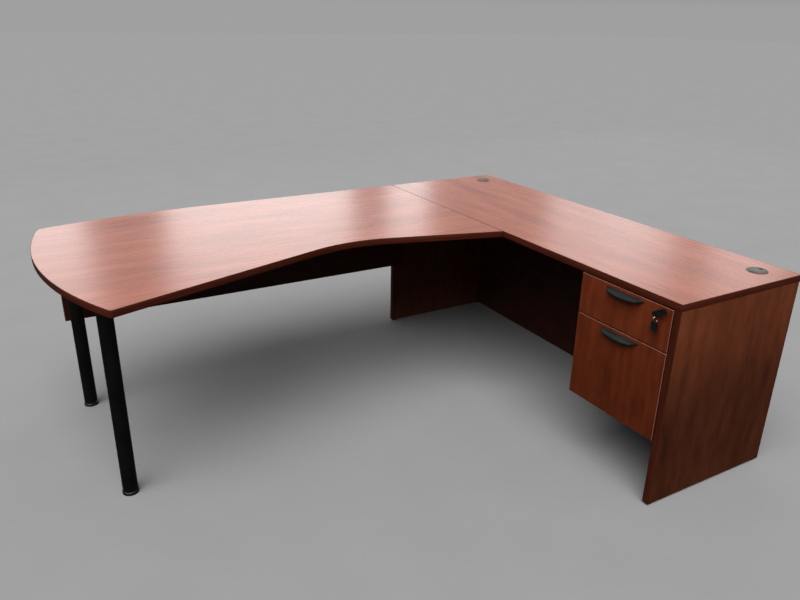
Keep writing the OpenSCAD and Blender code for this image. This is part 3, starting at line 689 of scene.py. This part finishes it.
def panHeadTree():
    tree = bpy.data.node_groups.new("panHeadScrews", "GeometryNodeTree")
    given = groupInputs(tree, (("Head radius", "Float"), ("Head height", "Float"),
                               ("Shank radius", "Float"), ("Recess", "Float"),
                               ("Finish", "Material")))
    crown = addNode(tree, "ShaderNodeMath", {0: given["Head radius"], 1: 0.68},
                    operation="MULTIPLY")
    head = addNode(tree, "GeometryNodeMeshCone", {
        "Vertices": 24, "Radius Top": given["Head radius"], "Radius Bottom": crown.outputs[0],
        "Depth": given["Head height"]})
    down = addNode(tree, "ShaderNodeMath", {0: given["Head height"], 1: -1.0},
                   operation="MULTIPLY")
    drop = addNode(tree, "ShaderNodeCombineXYZ", {"Z": down.outputs[0]})
    seated = addNode(tree, "GeometryNodeTransform", {
        "Geometry": head.outputs["Mesh"], "Translation": drop.outputs[0]})
    wide = addNode(tree, "ShaderNodeMath", {0: given["Head radius"], 1: 1.1},
                   operation="MULTIPLY")
    bar = addNode(tree, "ShaderNodeCombineXYZ", {
        "X": wide.outputs[0], "Y": given["Recess"], "Z": given["Head height"]})
    cross = addNode(tree, "ShaderNodeCombineXYZ", {
        "X": given["Recess"], "Y": wide.outputs[0], "Z": given["Head height"]})
    slots = addNode(tree, "GeometryNodeJoinGeometry")
    for size in (bar, cross):
        block = addNode(tree, "GeometryNodeMeshCube", {"Size": size.outputs[0]})
        sunk = addNode(tree, "GeometryNodeTransform", {
            "Geometry": block.outputs["Mesh"], "Translation": drop.outputs[0]})
        lower = addNode(tree, "GeometryNodeTransform", {
            "Geometry": sunk.outputs[0], "Translation": (0, 0, -0.0006)})
        tree.links.new(lower.outputs[0], slots.inputs[0])
    cut = addNode(tree, "GeometryNodeMeshBoolean", {
        "Mesh 1": seated.outputs[0], "Mesh 2": slots.outputs[0]},
        operation="DIFFERENCE", solver="EXACT")
    shank = addNode(tree, "GeometryNodeMeshCylinder", {
        "Vertices": 16, "Radius": given["Shank radius"], "Depth": 1.0})
    shankUp = addNode(tree, "GeometryNodeTransform", {
        "Geometry": shank.outputs["Mesh"], "Translation": (0, 0, 0.5)})
    points = addNode(tree, "GeometryNodeMeshToPoints", {"Mesh": given["Geometry"]})
    aim = addNode(tree, "GeometryNodeInputNamedAttribute", {"Name": "aim"},
                  data_type="FLOAT_VECTOR")
    reach = addNode(tree, "GeometryNodeInputNamedAttribute", {"Name": "reach"},
                    data_type="FLOAT")
    turned = addNode(tree, "FunctionNodeAlignRotationToVector", {
        "Vector": aim.outputs["Attribute"]}, axis="Z")
    stretch = addNode(tree, "ShaderNodeCombineXYZ", {
        "X": 1.0, "Y": 1.0, "Z": reach.outputs["Attribute"]})
    heads = addNode(tree, "GeometryNodeInstanceOnPoints", {
        "Points": points.outputs[0], "Instance": cut.outputs["Mesh"],
        "Rotation": turned.outputs[0]})
    shanks = addNode(tree, "GeometryNodeInstanceOnPoints", {
        "Points": points.outputs[0], "Instance": shankUp.outputs[0],
        "Rotation": turned.outputs[0], "Scale": stretch.outputs[0]})
    both = addNode(tree, "GeometryNodeJoinGeometry")
    tree.links.new(heads.outputs[0], both.inputs[0])
    tree.links.new(shanks.outputs[0], both.inputs[0])
    return endTree(tree, both.outputs[0], given["Finish"])


panHead = panHeadTree()
screwSizes = {"Head radius": 0.0038, "Head height": 0.0024, "Shank radius": 0.002,
              "Recess": 0.0009, "Finish": zincPlate}


def screws(name, marks, body, node):
    # each mark is the seat of the head, the way the shank points and its length
    mesh = bpy.data.meshes.new("marks")
    mesh.from_pydata([seat for seat, way, length in marks], [], [])
    mesh.attributes.new("aim", "FLOAT_VECTOR", "POINT")
    mesh.attributes.new("reach", "FLOAT", "POINT")
    for i, (seat, way, length) in enumerate(marks):
        mesh.attributes["aim"].data[i].vector = way
        mesh.attributes["reach"].data[i].value = length
    showMesh(name, grow(panHead, mesh, screwSizes), zincPlate, body, (node,))


up, backwards, outwards = Vector((0, 0, 1)), Vector((0, 1, 0)), Vector((-1, 0, 0))
# places are measured from the desk's corner
fixings = {
    "plateThick": 0.002, "screwLong": 0.016,
    "joiningPlates": (-0.220, -0.700), "joiningHoles": (-0.045, -0.020, 0.020, 0.045),
    "brackets": (-1.440, -1.000, -0.560, -0.120), "bracketHoles": (-0.008, 0.008),
    "bracketTopHole": -0.158, "bracketFace": -0.132, "bracketFaceDrop": 0.028,
    "legPlateThick": 0.004, "legHoleCircle": 0.034, "legScrewLong": 0.018,
    "railHoles": [(x, y) for x in (0.060, 0.400) for y in (-1.712, -1.490)],
    "railScrewLong": 0.027,
    "pullHoles": (-0.032, 0.032), "pullHoleDrop": 0.012, "pullScrewLong": 0.0215,
}
underPlate = underside - fixings["plateThick"]
short = fixings["screwLong"]
marks = [(fromCorner(x, y, underPlate), up, short)
         for y in fixings["joiningPlates"] for x in fixings["joiningHoles"]]
for x in fixings["brackets"]:
    for side in fixings["bracketHoles"]:
        marks.append((fromCorner(x + side, fixings["bracketTopHole"], underPlate), up, short))
        marks.append((fromCorner(x + side, fixings["bracketFace"],
                                 underside - fixings["bracketFaceDrop"]), backwards, short))
for end in ("front", "rear"):
    spot = turnsAt[end + "_foot_turn"]
    for turn in (45, 135, 225, 315):
        marks.append((Vector((spot.x + fixings["legHoleCircle"] * math.cos(math.radians(turn)),
                              spot.y + fixings["legHoleCircle"] * math.sin(math.radians(turn)),
                              underside - fixings["legPlateThick"])), up,
                      fixings["legScrewLong"]))
screws("undersideScrews", marks, "frame", "underside_screws")
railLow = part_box("pedestal_rails")[0].z
screws("pedestalScrews", [(fromCorner(x, y, railLow), up, fixings["railScrewLong"])
                          for x, y in fixings["railHoles"]], "frame", "pedestal_screws")
for drawer in ("upper", "lower"):
    spot = middleOf(drawer + "_pull")
    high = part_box(drawer + "_pull")[1]
    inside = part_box(drawer + "_drawer_front")[1].x
    screws(drawer + "PullScrews",
           [(Vector((inside, spot.y + side, high.z - fixings["pullHoleDrop"])), outwards,
             fixings["pullScrewLong"]) for side in fixings["pullHoles"]],
           drawer + "_drawer", drawer + "_pull_screws")
print("screws done")


# post legs, feet and glides

leg = {"tubeRadius": 0.0255, "wall": 0.0015, "footRadius": 0.028, "footTall": 0.012,
       "collarRadius": 0.008, "collarTop": 0.015, "studRadius": 0.004, "studTop": 0.036,
       "insertBore": 0.00406}
for end in ("front", "rear"):
    low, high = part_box(end + "_post_leg")
    spot = turnsAt[end + "_foot_turn"].xy
    r, w = leg["tubeRadius"], leg["wall"]
    tube = [(r - w, low.z), (r - 0.0004, low.z), (r, low.z + 0.0004), (r, high.z - 0.0004),
            (r - 0.0004, high.z), (r - w, high.z)]
    showMesh(end + "PostTube", meshFrom(lambda work: lathe(work, tube, 96, spot)), powderBlack,
             "frame", (end + "_post_leg",))
    f, tall, collar = leg["footRadius"], leg["footTall"], leg["collarRadius"]
    foot = [(0, 0), (f - 0.0022, 0), (f - 0.0007, 0.0006), (f, 0.002), (f, tall - 0.0035),
            (f - 0.0006, tall - 0.002), (f - 0.003, tall), (collar + 0.001, tall),
            (collar, tall + 0.0006), (collar, leg["collarTop"]),
            (leg["studRadius"], leg["collarTop"]), (leg["studRadius"], leg["studTop"]),
            (0, leg["studTop"])]
    showMesh(end + "LevellingFoot", meshFrom(lambda work: lathe(work, foot, 96, spot)),
             nylonBlack, end + "_foot", (end + "_leg_foot",))

inserts = []
low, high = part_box("leg_inserts")
r = leg["tubeRadius"]
for end in ("front", "rear"):
    spot = turnsAt[end + "_foot_turn"].xy
    sleeve = r - leg["wall"] - 0.0001
    insert = [(leg["insertBore"], low.z), (r - 0.0012, low.z), (r - 0.0003, low.z + 0.0003),
              (r, low.z + 0.0012), (r, low.z + 0.005), (sleeve, low.z + 0.005),
              (sleeve, high.z), (leg["insertBore"], high.z)]
    inserts.append(meshFrom(lambda work: lathe(work, insert, 96, spot)))
showMesh("legInserts", joinMeshes(inserts), nylonBlack, "frame",
         ("leg_inserts",))

# a nylon disc on a thin nail, two under each gable
glide = {"across": (0.020, 0.571), "along": (-0.0125, -1.8165)}
glideProfile = [(0, 0), (0.0082, 0), (0.0098, 0.0006), (0.0105, 0.0018), (0.0105, 0.0048),
                (0.0095, 0.006), (0.0015, 0.006), (0.0015, 0.020), (0, 0.021)]
glides = []
for x in glide["across"]:
    for y in glide["along"]:
        spot = fromCorner(x, y).xy
        glides.append(meshFrom(lambda work: lathe(work, glideProfile, 40, spot)))
showMesh("gableGlides", joinMeshes(glides), nylonBlack, "frame",
         ("gable_glides",))
print("legs and glides done")


# cable grommets

for side in grommet["sides"]:
    ringNode = side + "_grommet_ring"
    spot = turnsAt[side + "_cap_turn"].xy
    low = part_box(ringNode)[0]
    t = topHeight
    top = t + grommet["proud"]
    throat, ledge, flange = grommet["throat"], grommet["ledge"], grommet["flange"]
    ring = [(throat, top - 0.0004), (throat, t - 0.003), (ledge, t - 0.003),
            (ledge, t - 0.005), (throat, t - 0.005), (throat, low.z),
            (grommet["sleeve"], low.z), (grommet["sleeve"], t), (flange, t),
            (flange, t + 0.0007), (flange - 0.0006, t + 0.0013), (flange - 0.0025, top - 0.0004),
            (flange - 0.0035, top), (throat + 0.0004, top)]
    showMesh(side + "GrommetRing", meshFrom(lambda work: lathe(work, ring, 96, spot)), absGrey,
             "frame", (ringNode,))
    # the cap has a shallow groove near its rim and a cable slot that opens at its edge
    rim = grommet["cap"]
    cap = [(0, t - 0.0027), (rim, t - 0.0027), (rim, t + 0.0022), (rim - 0.0005, t + 0.0027),
           (rim - 0.0015, top), (0.0235, top), (0.0231, top - 0.0004), (0.0225, top - 0.0004),
           (0.0221, top), (0, top)]
    near, far, half = grommet["slotFrom"], grommet["slotTo"], grommet["slotHalf"]
    slotCorners = [Vector((spot.x + x, spot.y + y))
                   for x, y in ((near, -half), (far, -half), (far, half), (near, half))]
    slot = meshFrom(lambda work: prism(work, roundedLoop(slotCorners, grommet["slotCorner"]),
                                       t - 0.004, t + 0.004))
    showMesh(side + "GrommetCap", meshFrom(lambda work: lathe(work, cap, 96, spot), cuts=[slot]),
             absGrey, side + "_cap", (side + "_grommet_cap",))
print("grommets done")


# drawer pulls

pull = {"half": 0.086, "depth": 0.0245, "tall": 0.0175, "bow": 0.484, "rake": 0.026,
        "lowerBow": 0.250}
# blade, lip and back plate, outward negative, down negative, with the turns eased
pullSection = [(0, 0), (-0.004, -0.0005), (-0.008, -0.0015), (-0.012, -0.0028),
               (-0.016, -0.0045), (-0.0192, -0.0064), (-0.0220, -0.0086), (-0.0238, -0.0108),
               (-0.0245, -0.0128), (-0.0245, -0.0158), (-0.0240, -0.0169), (-0.0230, -0.0174),
               (-0.0219, -0.0171), (-0.0211, -0.0164), (-0.0206, -0.0142), (-0.0196, -0.0126),
               (-0.0176, -0.0108), (-0.0156, -0.0095), (-0.0120, -0.0081), (-0.0082, -0.0067),
               (-0.0060, -0.0070), (-0.0050, -0.0080), (-0.0043, -0.0115), (-0.0040, -0.0175),
               (0, -0.0175)]


def pullMesh(place):
    half, depth, tall, bow = (pull[k] for k in ("half", "depth", "tall", "bow"))
    lengthwise = Matrix(((1, 0, 0, 0), (0, 0, 1, 0), (0, 1, 0, 0), (0, 0, 0, 1)))
    # seen from above the outer edge bows, and long rakes take it to a point at each end
    front = half - pull["rake"]
    reach = math.degrees(math.asin(front / bow))
    plan = [Vector((0, -half)), Vector((0, half))]
    plan += arcPoints(Vector((bow - depth, 0)), bow, 180 - reach, 180 + reach, 48)
    # seen from the front the lower edge bows up to the ends as well
    rise = math.degrees(math.asin((half + 0.002) / pull["lowerBow"]))
    face = [Vector((0.002 + half, 0.002)), Vector((-0.002 - half, 0.002))]
    face += arcPoints(Vector((0, pull["lowerBow"] - tall)), pull["lowerBow"], 270 - rise,
                      270 + rise, 48)
    acrossFront = Matrix(((0, 0, 1, 0), (1, 0, 0, 0), (0, 1, 0, 0), (0, 0, 0, 1)))
    keeps = [meshFrom(lambda work: prism(work, plan, -0.03, 0.002), place=place),
             meshFrom(lambda work: prism(work, face, -0.03, 0.002), place=place @ acrossFront)]
    return meshFrom(lambda work: prism(work, pullSection, -half, half),
                    place=place @ lengthwise, bevel=0.0004, keeps=keeps)


for drawer in ("upper", "lower"):
    low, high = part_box(drawer + "_pull")
    place = Matrix.Translation((high.x, (low.y + high.y) / 2, high.z))
    showMesh(drawer + "Pull", pullMesh(place), absCharcoal, drawer + "_drawer",
             (drawer + "_pull",))
print("pulls done")


# lock and keys

lockSpot = turnsAt["lock_turn"]
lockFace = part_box("upper_front_edge_band")[0].x
alongLock = Matrix.Translation((lockFace, lockSpot.y, lockSpot.z)) @ Matrix.Rotation(
    math.radians(90), 4, "Y")
lock = {"bore": 0.00656, "face": 0.0105, "barrel": 0.0095, "barrelLong": 0.023, "plug": 0.0065,
        "plugLong": 0.0235}
face = lock["face"]
housing = [(lock["bore"], -0.003), (face - 0.0007, -0.003), (face - 0.0001, -0.0025),
           (face, -0.0018), (face, 0), (lock["barrel"], 0), (lock["barrel"], lock["barrelLong"]),
           (lock["bore"], lock["barrelLong"])]
showMesh("lockHousing", meshFrom(lambda work: lathe(work, housing, 72), place=alongLock),
         powderBlack, "upper_drawer", ("lock_housing",))
plug = [(0, -0.0030), (0.0014, -0.0030), (lock["plug"] - 0.0005, -0.0036),
        (lock["plug"], -0.0031), (lock["plug"], lock["plugLong"]), (0, lock["plugLong"])]
showMesh("lockPlug", meshFrom(lambda work: lathe(work, plug, 64), place=alongLock),
         nickelPlate, "lock", ("lock_plug",))

key = {"angle": 28, "thick": 0.005, "spareThick": 0.004, "hub": 0.0098, "grip": 0.0078,
       "rim": 0.0016, "hole": 0.0022, "ringHole": (0.002, -0.0066)}
keyX = middleOf("key_head").x
onKey = (Matrix.Translation((keyX, lockSpot.y, lockSpot.z))
         @ Matrix.Rotation(math.radians(-90), 4, "Z")
         @ Matrix.Rotation(math.radians(90), 4, "X")
         @ Matrix.Rotation(math.radians(key["angle"]), 4, "Z"))


def headOutline():
    # the hub at the lock's axis, a short neck, then the rounded grip
    loop = arcPoints(Vector((0, 0)), key["hub"], 44, 316, 28) + [Vector((0.0136, -0.0068))]
    for x, y, start, end in ((0.020, -0.0025, 215, 270), (0.039, -0.0025, 270, 360),
                             (0.039, 0.0025, 0, 90), (0.020, 0.0025, 90, 145)):
        loop += arcPoints(Vector((x, y)), key["grip"], start, end, 10)
    return loop + [Vector((0.0136, 0.0068))]


def headBlock(work, outline, thick, dish):
    # a moulded grip: a raised rim round a dished face on both sides
    prism(work, outline, -thick / 2, thick / 2)
    caps = [f for f in work.faces if len(f.verts) == len(outline)]
    bmesh.ops.inset_region(work, faces=caps, thickness=key["rim"], depth=0)
    for face in caps:
        shift = -math.copysign(dish, face.calc_center_median().z)
        bmesh.ops.translate(work, verts=face.verts, vec=(0, 0, shift))


def roundHole(place, radius, centre, thick):
    return meshFrom(lambda work: prism(work, arcPoints(centre, radius, 0, 360, 40)[:-1],
                                       -thick, thick), place=place)


showMesh("keyHead",
         meshFrom(lambda work: headBlock(work, headOutline(), key["thick"], 0.0005),
                  place=onKey, bevel=0.0006, segments=3,
                  cuts=[roundHole(onKey, key["hole"], Vector(key["ringHole"]), 0.006)]),
         nylonBlack, "lock", ("key_head",))

# the spare hangs from the ring by the hole near its top
spareMiddle = middleOf("spare_key")
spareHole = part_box("spare_key")[1].z - 0.004
onSpare = (Matrix.Translation((spareMiddle.x, spareMiddle.y, spareHole))
           @ Matrix.Rotation(math.radians(90), 4, "Z") @ Matrix.Rotation(math.radians(90), 4, "X"))
spareOutline = roundedLoop([Vector(p) for p in (
    (-0.012, -0.0258), (-0.0078, -0.030), (0.0078, -0.030), (0.012, -0.0258), (0.012, -0.0002),
    (0.0078, 0.004), (-0.0078, 0.004), (-0.012, -0.0002))], 0.003)
showMesh("spareKeyHead",
         meshFrom(lambda work: headBlock(work, spareOutline, key["spareThick"], 0.0004),
                  place=onSpare, bevel=0.0005, segments=3,
                  cuts=[roundHole(onSpare, key["hole"], Vector((0, 0)), 0.006)]),
         nylonBlack, "hanging_key", ("spare_key",))

# a split ring: two turns of wire lying side by side
ringLow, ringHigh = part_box("key_ring")
ringMiddle = middleOf("key_ring")
splitRing = {"radius": (ringHigh.x - ringLow.x) / 2 - 0.0006, "wire": 0.00038, "turns": 1.95,
             "thick": 0.0012, "steps": 150}
coil = bpy.data.curves.new("coil", "CURVE")
coil.dimensions = "3D"
coil.bevel_depth = splitRing["wire"]
coil.bevel_resolution = 3
coil.use_fill_caps = True
spline = coil.splines.new("POLY")
spline.points.add(splitRing["steps"] - 1)
for i in range(splitRing["steps"]):
    share = i / (splitRing["steps"] - 1)
    a = 2 * math.pi * splitRing["turns"] * share + 0.6
    spline.points[i].co = (ringMiddle.x + splitRing["radius"] * math.cos(a),
                           ringMiddle.y + (share - 0.5) * splitRing["thick"],
                           ringMiddle.z + splitRing["radius"] * math.sin(a), 1)
coilHolder = bpy.data.objects.new("coil", coil)
scene.collection.objects.link(coilHolder)
ringMesh = facesOut(realMesh(coilHolder))
bpy.data.objects.remove(coilHolder)
showMesh("splitRing", ringMesh, nickelPlate, "hanging_key", ("key_ring",))
print("lock and keys done")


# floor, light and camera

# a matt pale floor, with a cloudiness too slight to draw the eye
floorMaterial, tree = newMaterial("pale_floor")
place = addNode(tree, "ShaderNodeTexCoord")
speck = addNode(tree, "ShaderNodeTexNoise", {
    "Vector": place.outputs["Object"], "Scale": 3.0, "Detail": 4.0})
tone = addNode(tree, "ShaderNodeValToRGB", {"Fac": speck.outputs[0]},
               stops=((0.3, (0.33, 0.33, 0.33, 1)), (0.7, (0.345, 0.345, 0.345, 1))))
shader = addNode(tree, "ShaderNodeBsdfPrincipled", {
    "Base Color": tone.outputs[0], "Roughness": 0.95, "IOR": 1.3})
finishMaterial(tree, shader)
floorMesh = bpy.data.meshes.new("floor")
floorReach = 60
floorMesh.from_pydata([(x * floorReach, y * floorReach, 0)
                       for x, y in ((-1, -1), (1, -1), (1, 1), (-1, 1))], [], [(0, 1, 2, 3)])
floorMesh.materials.append(floorMaterial)
floor = bpy.data.objects.new("floor", floorMesh)
scene.collection.objects.link(floor)
floor.visible_diffuse = False
floor.visible_glossy = False

# a pale room: as bright as the floor at the horizon, dim above that and brighter overhead;
# the floor bounces nothing back, so the undersides see the dark that lies below it
world = bpy.data.worlds.new("studio")
scene.world = world
world.use_nodes = True
tree = world.node_tree
way = addNode(tree, "ShaderNodeTexCoord")
height = addNode(tree, "ShaderNodeSeparateXYZ", {"Vector": way.outputs["Generated"]})
raised = addNode(tree, "ShaderNodeMath", {0: height.outputs["Z"], 1: 0.5, 2: 0.5},
                 operation="MULTIPLY_ADD")
sky = addNode(tree, "ShaderNodeValToRGB", {"Fac": raised.outputs[0]},
              stops=((0.46, (0.03, 0.03, 0.03, 1)), (0.465, (0.35, 0.35, 0.35, 1)),
                     (0.51, (0.35, 0.35, 0.35, 1)), (0.53, (0.15, 0.15, 0.15, 1)),
                     (0.66, (0.15, 0.15, 0.15, 1)), (0.82, (0.34, 0.34, 0.343, 1))))
tree.links.new(sky.outputs[0], tree.nodes["Background"].inputs["Color"])

sunData = bpy.data.lights.new("softSun", "SUN")
sunData.energy = 2.9
sunData.angle = math.radians(58)
sun = bpy.data.objects.new("softSun", sunData)
sun.rotation_euler = Vector((0.38, 0.40, -0.84)).to_track_quat("-Z", "Y").to_euler()
scene.collection.objects.link(sun)

# tall soft boxes and pale walls round the desk, seen only as the shine on its tops
boxes = {
    "boxLeft": {"place": (-0.95, 4.4, 2.0), "aim": (-1.0, 0.6, 0.75), "size": (0.7, 1.7),
                "bright": 2.25},
    "boxMiddle": {"place": (1.02, 4.4, 2.05), "aim": (-0.2, 0.4, 0.75), "size": (1.85, 1.8),
                  "bright": 2.3},
    "boxNarrow": {"place": (2.70, 4.4, 2.0), "aim": (0.3, 0.4, 0.75), "size": (0.45, 1.7),
                  "bright": 2.2},
    "boxRight": {"place": (5.15, 3.7, 2.5), "aim": (0.8, -0.4, 0.75), "size": (1.5, 1.9),
                 "bright": 1.45},
    "boxEnd": {"place": (6.0, 2.4, 2.5), "aim": (0.8, -1.2, 0.75), "size": (0.8, 1.9),
               "bright": 1.4},
    "paleWall": {"place": (1.6, 5.6, 2.6), "aim": (1.6, 0.0, 2.0), "size": (13.0, 4.4),
                 "bright": 0.44},
    "paleWallRight": {"place": (8.2, 2.4, 2.6), "aim": (0.0, 0.0, 2.0), "size": (7.0, 4.4),
                      "bright": 0.44},
}
for name, look in boxes.items():
    data = bpy.data.lights.new(name, "AREA")
    data.shape = "RECTANGLE"
    data.size, data.size_y = look["size"]
    # power that makes a box this bright, whatever its size
    data.energy = look["bright"] * math.pi * data.size * data.size_y
    lamp = bpy.data.objects.new(name, data)
    lamp.location = look["place"]
    way = Vector(look["aim"]) - Vector(look["place"])
    lamp.rotation_euler = way.to_track_quat("-Z", "Y").to_euler()
    lamp.visible_camera = False
    lamp.visible_diffuse = False
    scene.collection.objects.link(lamp)

cameraLook = {"place": (-1.2082, -2.2157, 1.5534), "yaw": 30.10, "pitch": 21.85,
              "roll": -1.03, "lens": 31.83}
yaw, pitch, roll = (math.radians(cameraLook[k]) for k in ("yaw", "pitch", "roll"))
ahead = Vector((math.sin(yaw) * math.cos(pitch), math.cos(yaw) * math.cos(pitch),
                -math.sin(pitch)))
right = Vector((math.cos(yaw), -math.sin(yaw), 0))
down = ahead.cross(right)
rolledRight = right * math.cos(roll) + down * math.sin(roll)
rolledDown = down * math.cos(roll) - right * math.sin(roll)
cameraData = bpy.data.cameras.new("camera")
cameraData.lens = cameraLook["lens"]
cameraData.sensor_width = 36
cameraData.clip_end = 100
camera = bpy.data.objects.new("camera", cameraData)
camera.matrix_world = Matrix.Translation(cameraLook["place"]) @ Matrix(
    (rolledRight, -rolledDown, -ahead)).transposed().to_4x4()
scene.collection.objects.link(camera)
scene.camera = camera
scene.view_settings.view_transform = "Standard"
